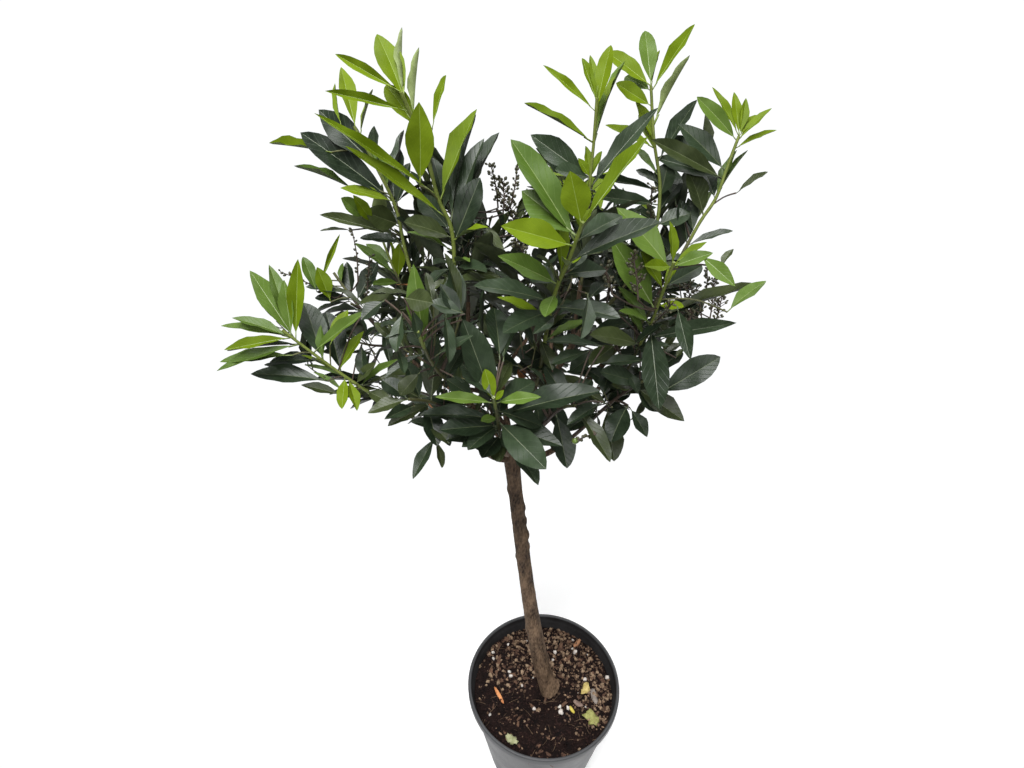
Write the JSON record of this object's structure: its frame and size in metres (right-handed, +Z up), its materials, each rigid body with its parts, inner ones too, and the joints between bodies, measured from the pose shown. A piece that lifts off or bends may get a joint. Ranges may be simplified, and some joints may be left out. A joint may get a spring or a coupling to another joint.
{
  "type": "potted standard cherry laurel",
  "caption": "Potted standard cherry laurel: a slim leaning bare stem with an open head of glossy lance-shaped leaves, in a round plastic nursery pot filled with compost.",
  "frame": {"origin": "centre of the pot's flat underside, on the surface it stands on", "axes": "+Z up along the pot's axis, -Y towards the front from which the plant is seen, +X to its right"},
  "size_m": [0.6069, 0.4988, 1.2593],
  "materials": {
    "pot_plastic": "matte anthracite",
    "compost_mix": "moist crumbly bark and peat",
    "bark": "matte grey-brown bark",
    "leaf_green": "leathery, glossy above"
  },
  "bodies": {
    "root": {"bough_back_centre": "bark", "bough_back_left": "bark", "bough_back_low_left": "bark", "bough_back_low_right": "bark", "bough_back_right": "bark", "bough_back_upper": "bark", "bough_centre": "bark", "bough_far_right": "bark", "bough_front_centre": "bark", "bough_front_left": "bark", "bough_front_low_left": "bark", "bough_front_low_right": "bark", "bough_front_right": "bark", "bough_low_left": "bark", "bough_low_right": "bark", "bough_mid_left": "bark", "bough_mid_right": "bark", "bough_right_back": "bark", "bough_top_left": "bark", "bough_top_right": "bark", "bough_upper_left": "bark", "bough_upper_right": "bark", "compost": "compost_mix", "foliage_back_centre": "leaf_green", "foliage_back_left": "leaf_green", "foliage_back_low_left": "leaf_green", "foliage_back_low_right": "leaf_green", "foliage_back_right": "leaf_green", "foliage_back_upper": "leaf_green", "foliage_centre": "leaf_green", "foliage_far_right": "leaf_green", "foliage_front_centre": "leaf_green", "foliage_front_left": "leaf_green", "foliage_front_low_left": "leaf_green", "foliage_front_low_right": "leaf_green", "foliage_front_right": "leaf_green", "foliage_low_left": "leaf_green", "foliage_low_right": "leaf_green", "foliage_mid_left": "leaf_green", "foliage_mid_right": "leaf_green", "foliage_right_back": "leaf_green", "foliage_top_left": "leaf_green", "foliage_top_right": "leaf_green", "foliage_upper_left": "leaf_green", "foliage_upper_right": "leaf_green", "pot": "pot_plastic", "trunk": "bark"}
  },
  "joints": []
}
